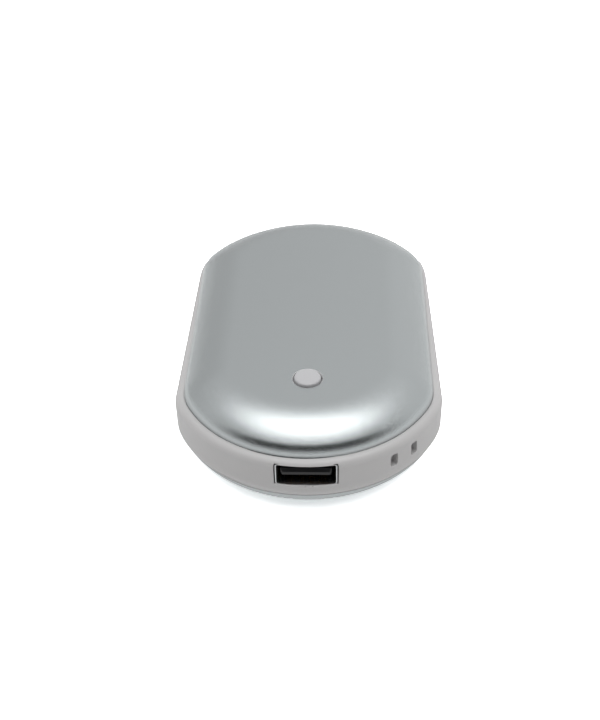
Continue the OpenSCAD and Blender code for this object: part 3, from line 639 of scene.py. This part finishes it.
steel, tree, shader = new_material("tin plated steel", "#c9cbcc", 0.24, Metallic=1.0)
uneven(tree, shader, 1.2, (0.18, 0.32), stretch=(1, 12, 12))
nylon, tree, shader = new_material("black glass filled nylon", "#0f1012", 0.3)
bumped(tree, shader, noise(tree, in_mm(tree), 0.2, Detail=2.0), 0.3, 0.01)
# The sleeve's lower front edge is a dull dark brown: painted shade for the shadow on the sill below
painted_shade_edge, tree, shader = new_material("sleeve edge with painted shade", "#57504a", 0.6, Metallic=0.6)
uneven(tree, shader, 0.15, (0.45, 0.8))
SLEEVE_WALL = 0.3
SLEEVE_CORNER = 0.7
LIP_FLARE = 0.13
LIP_LENGTH = 0.9
LIP_NOSE = 0.05
NOSE_HALF = 0.09
CORNER_COVER = 0.08
sleeve_size = (13.1, 5.7)
sleeve_front = sleeve_low.y / MM
sleeve_rear = sleeve_high.y / MM


def sleeve_ring(inset, y, bend=0.0):
    """A ring of the sleeve's rounded section. Towards its front end its sides bend outwards,
    and its upper corners stay just behind the frame's surface."""
    ring = []
    for x, z in rounded_rectangle(sleeve_size[0] - 2 * inset, sleeve_size[1] - 2 * inset,
                                  SLEEVE_CORNER - inset, steps=8, side_step=0.5):
        cover = front_at(x, surface_inset(PORT_HEIGHT + z)) + CORNER_COVER
        hidden = max(0, cover - y) if z > 1 else 0
        side = LIP_FLARE * bend ** 2 * x * 2 / sleeve_size[0]
        ring.append(((x + side) * MM, (y + hidden) * MM, (PORT_HEIGHT + z) * MM))
    return ring


lip = [(sleeve_front + LIP_LENGTH * i / 6, 1 - i / 6) for i in range(7)]
rings = ([sleeve_ring(0, sleeve_rear)] + [sleeve_ring(0, y, b) for y, b in lip[::-1]]
         + [sleeve_ring(SLEEVE_WALL / 2 - NOSE_HALF, sleeve_front - LIP_NOSE, 1),
            sleeve_ring(SLEEVE_WALL / 2 + NOSE_HALF, sleeve_front - LIP_NOSE, 1)]
         + [sleeve_ring(SLEEVE_WALL, y, b) for y, b in lip] + [sleeve_ring(SLEEVE_WALL, sleeve_rear)])
sleeve = lofted("port_sleeve", rings, hollow=True)


def block(name, low, high, bevel=0.05):
    """A block between two corners in mm, with its edges broken."""
    work = bmesh.new()
    bmesh.ops.create_cube(work, size=1)
    for vertex in work.verts:
        vertex.co = [(a + (b - a) * (c + 0.5)) * MM for a, b, c in zip(low, high, vertex.co)]
    bmesh.ops.bevel(work, geom=work.edges, offset=bevel * MM, segments=2, affect="EDGES")
    return smoothed(placed(name, meshed(name, work)))


def gathered(name, pieces, material):
    """One piece from several closed meshes of one material."""
    work = bmesh.new()
    for piece in pieces:
        work.from_mesh(piece.data)
        bpy.data.objects.remove(piece)
    mesh = meshed(name, work)
    mesh.materials.append(material)
    mesh.shade_smooth()
    mesh.set_sharp_from_angle(angle=radians(SHARP_ANGLE))
    return placed(name, mesh)


# Spring leaves, two in the sleeve's floor and two in its roof, bent in to grip the plug
LEAF_X = 3.1
LEAF_WIDTH = 2.0
LEAF_LENGTH = 5.5
LEAF_GAP = 0.3
LEAF_BEND = 0.42
LEAF_ROOT = 3.2
leaves = []
windows = []
for x, floor_side in ((-LEAF_X, -1), (LEAF_X, -1), (-LEAF_X, 1), (LEAF_X, 1)):
    wall_z = PORT_HEIGHT + floor_side * (sleeve_size[1] / 2 - SLEEVE_WALL / 2)
    start = sleeve_front + LEAF_ROOT
    windows.append(block("window", (x - LEAF_WIDTH / 2 - LEAF_GAP, start, wall_z - 0.6),
                         (x + LEAF_WIDTH / 2 + LEAF_GAP, start + LEAF_LENGTH + LEAF_GAP, wall_z + 0.6)))
    rings = []
    for i in range(13):
        t = i / 12
        bend = LEAF_BEND * (sin(pi * min(1, t / 0.8) / 2) ** 2 - 0.6 * max(0, t - 0.8) / 0.2)
        y = start + LEAF_LENGTH * t
        z = wall_z - floor_side * bend
        half = LEAF_WIDTH / 2 * (1 if t < 0.85 else 1 - 0.25 * (t - 0.85) / 0.15)
        rings.append([((x + u * half) * MM, y * MM, (z + v * SLEEVE_WALL / 2) * MM)
                      for u, v in ((-1, -1), (1, -1), (1, 1), (-1, 1))])
    leaves.append(lofted("leaf", rings))
cut(sleeve, *windows)
smoothed(sleeve)
LEG = (0.3, 1.2, 2.0)
LEG_ROWS = (-42.6, -37.5)
legs = [block("leg", (side * (sleeve_size[0] - LEG[0]) / 2 - LEG[0] / 2, y - LEG[1] / 2,
                      PORT_HEIGHT - sleeve_size[1] / 2 - LEG[2]),
              (side * (sleeve_size[0] - LEG[0]) / 2 + LEG[0] / 2, y + LEG[1] / 2,
               PORT_HEIGHT - sleeve_size[1] / 2 + 0.5), bevel=0.08)
        for side in (-1, 1) for y in LEG_ROWS]
sleeve = gathered("port_sleeve", [sleeve, *leaves, *legs], steel)
sleeve.data.materials.append(painted_shade_edge)
# Faces at the sleeve's lower front edge take the dark brown painted shade
for face in sleeve.data.polygons:
    x, y, z = face.center / MM
    if y < sleeve_front and z < PORT_HEIGHT - 2 and abs(x) < GROOVE_HALF:
        face.material_index = 1
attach(sleeve, "root")
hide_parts("output_port_shell")

# Tongue with bevels round its nose, and the block that closes the back
tongue_low, tongue_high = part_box("output_port_tongue")
TONGUE_WIDTH = 10.9
NOSE_WIDTH = 10.2
NOSE_HEIGHT = 0.75
NOSE_BEVEL = 0.4
NOSE_RISE = 0.79
TONGUE_DROP = 0.2
TONGUE_THICKNESS = 1.84
TONGUE_BOTTOM = PORT_HEIGHT - TONGUE_DROP
TONGUE_TOP = TONGUE_BOTTOM + TONGUE_THICKNESS
TONGUE_EDGE = 0.06
tongue_front = tongue_low.y / MM
tongue_rear = tongue_high.y / MM
BACK_BLOCK = (12.3, 4.6, 4.9)


def tongue_ring(width, top, y):
    """A ring of the tongue's section, with its corners softened."""
    section = rounded_rectangle(width, top - TONGUE_BOTTOM, TONGUE_EDGE, steps=3, side_step=2.0)
    return [(x * MM, y * MM, ((top + TONGUE_BOTTOM) / 2 + z) * MM) for x, z in section]


nose_top = TONGUE_BOTTOM + NOSE_HEIGHT
tongue = lofted("tongue", [tongue_ring(NOSE_WIDTH - 0.05, nose_top - 0.03, tongue_front),
                           tongue_ring(NOSE_WIDTH, nose_top, tongue_front + 0.02),
                           tongue_ring(TONGUE_WIDTH, nose_top + NOSE_RISE, tongue_front + NOSE_BEVEL),
                           tongue_ring(TONGUE_WIDTH, TONGUE_TOP, tongue_front + 3 * NOSE_BEVEL),
                           tongue_ring(TONGUE_WIDTH, TONGUE_TOP, tongue_rear - BACK_BLOCK[1] + 0.5)])
back = block("back", (-BACK_BLOCK[0] / 2, tongue_rear - BACK_BLOCK[1], PORT_HEIGHT - BACK_BLOCK[2] / 2),
             (BACK_BLOCK[0] / 2, tongue_rear, PORT_HEIGHT + BACK_BLOCK[2] / 2), bevel=0.15)
cut(tongue, back, operation="UNION")
smoothed(tongue)
tongue = gathered("port_tongue", [tongue], nylon)
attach(tongue, "root")
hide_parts("output_port_tongue")

# Charging inlet: a small drawn steel shell with sloping lower corners and a flared mouth, a
# nylon tongue and five contacts, soldered to a board of its own at the rear.
inlet_low, inlet_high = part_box("inlet_shell")
INLET_WALL = 0.25
INLET_SLOPE = 0.85
INLET_CORNER = 0.25
INLET_FLARE = 0.2
inlet_half = inlet_high.x / MM
inlet_top = inlet_high.z / MM
inlet_bottom = inlet_low.z / MM


def inlet_ring(inset, y, flare=0.0):
    """A ring of the inlet's section: square above, with its lower corners sloped."""
    half = inlet_half - inset
    top = inlet_top - inset
    bottom = inlet_bottom + inset
    slope = INLET_SLOPE - inset * 0.4
    corner = INLET_CORNER if inset == 0 else INLET_CORNER / 2
    section = (arc((half - corner, top - corner), corner, 0, 90, 5)
               + [(0, top)] + arc((corner - half, top - corner), corner, 90, 180, 5)
               + arc((corner - half, bottom + slope + corner), corner, 180, 225, 3)
               + arc((slope + corner - half, bottom + corner), corner, 225, 270, 3)
               + [(0, bottom)] + arc((half - slope - corner, bottom + corner), corner, 270, 315, 3)
               + arc((half - corner, bottom + slope + corner), corner, 315, 360, 3))
    middle = (top + bottom) / 2
    return [(x * (1 + flare / inlet_half) * MM, y * MM, (middle + (z - middle) * (1 + flare / 1.4)) * MM)
            for x, z in section]


inlet_rear = inlet_high.y / MM
inlet_front = inlet_low.y / MM
mouth_lip = [(inlet_rear - 0.8 * i / 4, INLET_FLARE * (1 - i / 4) ** 2) for i in range(5)]
inlet = lofted("inlet", [inlet_ring(0, inlet_front)] + [inlet_ring(0, y, f) for y, f in mouth_lip[::-1]]
               + [inlet_ring(INLET_WALL, y, f) for y, f in mouth_lip]
               + [inlet_ring(INLET_WALL, inlet_front)], hollow=True)
inlet = gathered("inlet_sleeve", [inlet], steel)
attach(inlet, "root")
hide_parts("inlet_shell")


def finished(material, *nodes):
    """Gives CAD nodes whose own shape is right their material."""
    for node in nodes:
        slots_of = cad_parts[node].data.materials
        slots_of.clear()
        slots_of.append(material)


finished(nylon, "inlet_tongue")

# Contacts of both ports: leaves of phosphor bronze, plated with a thin layer of soft gold that
# is a little worn where plugs have rubbed along it.
gold, tree, shader = new_material("gold plated bronze", "#d9ac55", 0.22, Metallic=1.0)
uneven(tree, shader, 0.8, (0.15, 0.35), stretch=(6, 1, 6))
finished(gold, "output_port_contacts", "inlet_contacts")


def grained(name, code, code_between, roughness, grain_size, height, **settings):
    """A material with an even grain: its colour wanders between two tones, and it has a bump."""
    material, tree, shader = new_material(name, code, roughness, **settings)
    grain = noise(tree, in_mm(tree), grain_size, Detail=3.0)
    mixed(tree, shader, grain, code, code_between)
    bumped(tree, shader, grain, 0.6, height)
    return material


# Heaters: an etched foil track between two sheets of amber polyimide film, one behind each
# shell. The track winds across the film, and both its ends lie on the tab at the front.
finished(grained("polyimide film", "#a8611f", "#b87028", 0.28, 3.0, 0.01, Coat_Weight=0.4),
         "top_heater", "bottom_heater")
track_foil = grained("etched heater foil under film", "#6f4a2a", "#7b5431", 0.35, 0.6, 0.005, Metallic=0.8)
TRACK_WIDTH = 0.8
TRACK_THICKNESS = 0.05
TRACK_PITCH = 1.9
TRACK_MARGIN = 1.6
TRACK_BEND = 0.7


def track_tree():
    """A tree that rounds a track's corners and gives it the flat section of etched foil."""
    tree, given = new_tree("Etched track", Route="Geometry", Width="Float", Thickness="Float",
                           Bend="Float", Material="Material")
    route = result(tree, "GeometryNodeMeshToCurve", {"Mesh": given["Route"]})
    rounded = result(tree, "GeometryNodeFilletCurve",
                     {"Curve": route, "Count": 4, "Radius": given["Bend"]}, mode="POLY")
    level = result(tree, "GeometryNodeSetCurveNormal", {"Curve": rounded}, mode="Z_UP")
    section = result(tree, "GeometryNodeCurvePrimitiveQuadrilateral",
                     {"Width": given["Width"], "Height": given["Thickness"]})
    swept = result(tree, "GeometryNodeCurveToMesh",
                   {"Curve": level, "Profile Curve": section, "Fill Caps": True})
    return end_tree(tree, swept, given["Material"])


etched_tree = track_tree()
FILM_HALF_WIDTH = 13.5
FILM_FRONT = -24
FRONT_RUN = 1.2
TRACK_ENDS = (6, 12.8)
END_MARGIN = 0.5
left = TRACK_MARGIN - FILM_HALF_WIDTH
right = FILM_HALF_WIDTH - TRACK_MARGIN
front = FILM_FRONT + TRACK_MARGIN
run_y = front - FRONT_RUN
runs = round((right - left) / TRACK_PITCH / 2) * 2
for node, name, side in (("top_heater", "top_heater_track", 1), ("bottom_heater", "bottom_heater_track", -1)):
    low, high = [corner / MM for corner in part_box(node)]
    face_z = low.z if side > 0 else high.z
    rear = high.y - TRACK_MARGIN
    first_x, last_x = [side * x for x in TRACK_ENDS]
    route = [(first_x, low.y + END_MARGIN), (first_x, run_y), (side * left, run_y)]
    for i in range(runs):
        x = side * (left + (right - left) * i / (runs - 1))
        ends = (front, rear) if i % 2 == 0 else (rear, front + FRONT_RUN)
        route += [(x, ends[0] if i else run_y), (x, ends[1])]
    route += [(last_x, run_y), (last_x, low.y + END_MARGIN)]
    route = [p for p, q in zip(route, [None] + route) if p != q]
    mesh = bpy.data.meshes.new(name)
    mesh.from_pydata([(x * MM, y * MM, face_z * MM) for x, y in route],
                     [(i, i + 1) for i in range(len(route) - 1)], [])
    track = placed(name, mesh)
    formed(track, etched_tree, Width=TRACK_WIDTH * MM, Thickness=TRACK_THICKNESS * MM,
           Bend=TRACK_BEND * MM, Material=track_foil)
    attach(track, "root")

# Insulation: pads of black closed cell foam that keep the heat in the shells, cut from
# sheet. A third pad, on top of the cells, holds them down.
foam, tree, shader = new_material("black closed cell foam", "#262628", 0.9)
cells = add_node(tree, "ShaderNodeTexVoronoi", {"Vector": in_mm(tree), "Scale": 1 / 0.6})
bumped(tree, shader, cells.outputs["Distance"], 0.8, 0.05)
finished(foam, "top_insulation", "bottom_insulation", "cell_pad")

# Tapes: strips of white double sided tissue tape under the shells, the cells and between them
finished(grained("white tissue tape", "#d6d5cf", "#e0dfd8", 0.6, 0.5, 0.02),
         "top_shell_tape", "bottom_shell_tape", "cell_tape", "cell_bond")

# Trays: two moulded carriers in dark grey nylon, screwed to the frame's lugs from above and
# below. Sliding mould faces and a spark eroded texture leave an even, dull grain.
finished(grained("dark grey moulded nylon", "#4c4f53", "#565a5e", 0.5, 0.25, 0.02), "top_tray", "bottom_tray")

# Screws: steel pan heads, zinc plated with a faint blue passivation
zinc = grained("zinc plated steel", "#b9bfc6", "#c4c8cc", 0.3, 1.2, 0.005, Metallic=1.0)
finished(zinc, "top_tray_screws", "bottom_tray_screws", "main_board_screws", "charge_board_screws")

# Cells: two flat lithium pouches in embossed aluminium laminate, which is slightly creased
foil, tree, shader = new_material("aluminium laminate pouch", "#b4b7ba", 0.34, Metallic=0.85)
place = in_mm(tree)
creases = noise(tree, place, 6, Detail=5.0, Distortion=1.5)
embossing = add_node(tree, "ShaderNodeTexVoronoi", {"Vector": place, "Scale": 1 / 0.7})
both = maths(tree, "MULTIPLY_ADD", embossing.outputs["Distance"], 0.08, creases)
bumped(tree, shader, both, 0.5, 0.5)
finished(foil, "lower_cell", "upper_cell")
finished(grained("nickel strip", "#c0bcb4", "#cbc7bf", 0.32, 0.8, 0.005, Metallic=1.0), "cell_tabs")

# Boards: glass epoxy under a green solder mask. Copper tracks show through the mask as a
# slightly paler, raised pattern of straight runs.
laminate, tree, shader = new_material("green solder mask on glass epoxy", "#17492f", 0.3, Coat_Weight=0.3)
tracks = result(tree, "ShaderNodeTexBrick",
                {"Vector": in_mm(tree), "Color1": (1, 1, 1, 1), "Color2": (0.7, 0.7, 0.7, 1),
                 "Mortar": (0, 0, 0, 1), "Scale": 1.0, "Mortar Size": 0.12, "Brick Width": 4.2,
                 "Row Height": 0.8})
mixed(tree, shader, tracks, "#113d26", "#1f5c3c")
bumped(tree, shader, tracks, 0.5, 0.03)
finished(laminate, "battery_board", "main_board", "charge_board")

# Parts on the boards: epoxy chips, a moulded ferrite inductor, capacitors, two lights, a
# thermal fuse, and the switch, whose body is nylon and whose snap dome is spring steel.
finished(grained("matt epoxy chip body", "#1c1c1e", "#232325", 0.55, 0.15, 0.01), "control_chips")
finished(grained("moulded ferrite", "#3a3a3d", "#454548", 0.6, 0.3, 0.02), "inductor")
finished(grained("lacquered capacitor can", "#a99d84", "#b5aa92", 0.35, 1.0, 0.005, Metallic=0.5),
         "capacitors")
finished(grained("diffusing lens resin", "#d8d4a6", "#e2dfb8", 0.25, 0.6, 0.005, Transmission_Weight=0.4),
         "indicator_lights")
finished(grained("glazed ceramic fuse", "#aca594", "#bab4a4", 0.25, 0.8, 0.005), "thermal_fuse")
finished(grained("black moulded switch nylon", "#1f2022", "#27282a", 0.45, 0.25, 0.015), "switch_body")
finished(grained("red brown plunger plastic", "#7c2a26", "#8a322c", 0.4, 0.4, 0.01), "switch_plunger")
finished(grained("bright spring steel", "#c4c5c4", "#cfd0cf", 0.2, 0.9, 0.004, Metallic=1.0), "switch_dome")

# Leads: stranded copper in soft silicone sleeves, tinned where they are soldered, and the
# thermistor, a bead of blue epoxy on two bare tinned leads
finished(grained("red silicone sleeve", "#96271f", "#a33027", 0.45, 0.5, 0.01), "battery_leads")
finished(grained("black silicone sleeve", "#232426", "#2c2d2f", 0.45, 0.5, 0.01), "charge_leads")
finished(grained("white silicone sleeve", "#cfcfca", "#dadad5", 0.45, 0.5, 0.01),
         "top_heater_leads", "bottom_heater_leads")
finished(grained("blue epoxy bead", "#22406a", "#2b4c7a", 0.3, 0.7, 0.01), "thermistor")
finished(grained("tinned copper wire", "#b5b3ae", "#c3c1bc", 0.3, 0.6, 0.004, Metallic=1.0),
         "thermistor_leads")

# Table and light: a white table that runs out of sight, a broad soft lamp overhead, pale
# surroundings, and the darker room on the camera's side.
TABLE_LEVEL = 3.2
TABLE_GLOW = 0.55
table_white, tree, shader = new_material("white table lit from beneath", "#a0a0a0", 0.9)
shader.inputs["Specular IOR Level"].default_value = 0.0
shader.inputs["Emission Color"].default_value = (1, 1, 1, 1)
path = add_node(tree, "ShaderNodeLightPath")
glow = ranged(tree, path.outputs["Is Camera Ray"], end=(TABLE_GLOW, 0.0))
tree.links.new(glow, shader.inputs["Emission Strength"])
whiter = add_node(tree, "ShaderNodeMix", {"Factor": path.outputs["Is Camera Ray"], "A": linear("#a0a0a0"),
                                          "B": (TABLE_LEVEL, TABLE_LEVEL, TABLE_LEVEL, 1)},
                  data_type="RGBA")
tree.links.new(whiter.outputs[2], shader.inputs["Base Color"])
table_mesh = bpy.data.meshes.new("table")
REACH = 3.0
table_mesh.from_pydata([(-REACH, -REACH, 0), (REACH, -REACH, 0), (REACH, REACH, 0), (-REACH, REACH, 0)],
                       [], [(0, 1, 2, 3)])
table = placed("table", table_mesh)
table_mesh.materials.append(table_white)

world = bpy.data.worlds.new("studio")
bpy.context.scene.world = world
world.use_nodes = True
tree = world.node_tree
background = tree.nodes["Background"]
direction = add_node(tree, "ShaderNodeTexCoord").outputs["Generated"]


def dotted(way, other):
    """The cosine of the angle between two directions in the room."""
    product = add_node(tree, "ShaderNodeVectorMath", {0: way, 1: other}, operation="DOT_PRODUCT")
    return product.outputs["Value"]


axes = add_node(tree, "ShaderNodeSeparateXYZ", {0: direction})
level_way = result(tree, "ShaderNodeVectorMath", {0: direction, 1: (1, 1, 0)}, operation="MULTIPLY")
level_way = result(tree, "ShaderNodeVectorMath", {0: level_way}, operation="NORMALIZE")
# The dark side fades out between these angles from the camera, and these heights
DARK_SPREAD = [cos(radians(angle)) for angle in (84, 50)]
DARK_HEIGHTS = [sin(radians(angle)) for angle in (40, 62)]
DARK_LEVEL = 0.05
beside = ranged(tree, dotted(level_way, (0, -1, 0)), DARK_SPREAD, smooth=True)
dark_room = ranged(tree, axes.outputs["Z"], DARK_HEIGHTS, (beside, 0.0), True)
# The other walls are pale, and a little less so at the back on the left
BACK_LEFT = Vector((-0.64, 0.77, 0))
WALL_SPREAD = (0.5, 0.9)
WALL_LEVELS = (0.79, 0.6)
wall = ranged(tree, dotted(direction, BACK_LEFT), WALL_SPREAD, WALL_LEVELS, True)
room = ranged(tree, dark_room, end=(wall, DARK_LEVEL))
LAMP_TILT = radians(8)
OVERHEAD = Vector((0, -sin(LAMP_TILT), cos(LAMP_TILT)))
CEILING_SPREAD = [cos(radians(angle)) for angle in (34, 14)]
CEILING_LEVEL = 1.1
ceiling = ranged(tree, dotted(direction, OVERHEAD), CEILING_SPREAD, (0.0, CEILING_LEVEL), True)
light = maths(tree, "ADD", room, ceiling)
path = add_node(tree, "ShaderNodeLightPath")
seen = maths(tree, "MAXIMUM", path.outputs["Is Camera Ray"], path.outputs["Is Transmission Ray"])
tree.links.new(ranged(tree, seen, end=(light, 1.0)), background.inputs["Strength"])
background.inputs["Color"].default_value = (1, 1, 1, 1)

LAMP_HEIGHT = 0.9
LAMP_WIDTH = 1.1
LAMP_DEPTH = 0.42
LAMP_RADIANCE = 1.5
lamp_data = bpy.data.lights.new("overhead softbox", "AREA")
lamp_data.shape = "RECTANGLE"
lamp_data.size = LAMP_WIDTH
lamp_data.size_y = LAMP_DEPTH
lamp_data.energy = LAMP_RADIANCE * pi * LAMP_WIDTH * LAMP_DEPTH
lamp = placed("overhead softbox", lamp_data)
lamp.location = OVERHEAD * LAMP_HEIGHT
lamp.rotation_euler = (-LAMP_TILT, 0, 0)

# Camera: fitted to the outline, both seams, the port and the button
SENSOR = 36.0
FOCAL = 993.5
FRAME_HEIGHT = 720
CAMERA_PLACE = (0.00587, -0.20288, 0.15869)
CAMERA_TURN = (53.021, 1.058, 1.658)
camera_data = bpy.data.cameras.new("camera")
camera_data.sensor_width = SENSOR
camera_data.lens = FOCAL * SENSOR / FRAME_HEIGHT
camera_data.clip_start = 0.01
camera = placed("camera", camera_data)
camera.location = CAMERA_PLACE
camera.rotation_euler = [radians(angle) for angle in CAMERA_TURN]
bpy.context.scene.camera = camera
bpy.context.scene.view_settings.view_transform = "Standard"
